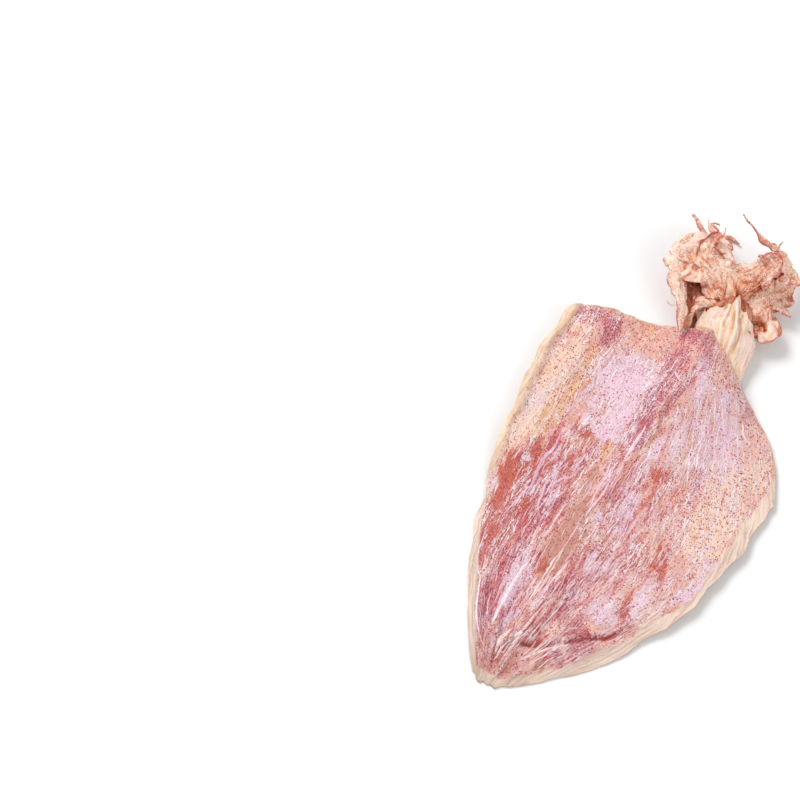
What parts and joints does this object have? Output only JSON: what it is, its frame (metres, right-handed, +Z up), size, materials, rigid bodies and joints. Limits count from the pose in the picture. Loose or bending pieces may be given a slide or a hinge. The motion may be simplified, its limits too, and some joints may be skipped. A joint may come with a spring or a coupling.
{
  "type": "dried squid",
  "caption": "Flattened dried squid: a thin, wavy, split mantle with its pleated neck and a shrivelled crown of arms. A food item that lies flat.",
  "frame": {"origin": "centre of the bounding box seen from above, on the surface that the squid lies on", "axes": "+Y runs from the pointed tail towards the arms, +Z is up out of the skin side, +X is to the right with the arms pointing away"},
  "size_m": [0.1138, 0.2266, 0.0257],
  "materials": {
    "dried_skin": "dry, wrinkled, thin skin with a dull satin sheen; pinkish with a pale bloom, cream at its edges"
  },
  "bodies": {
    "root": {"dried_squid": "dried_skin"}
  },
  "joints": []
}
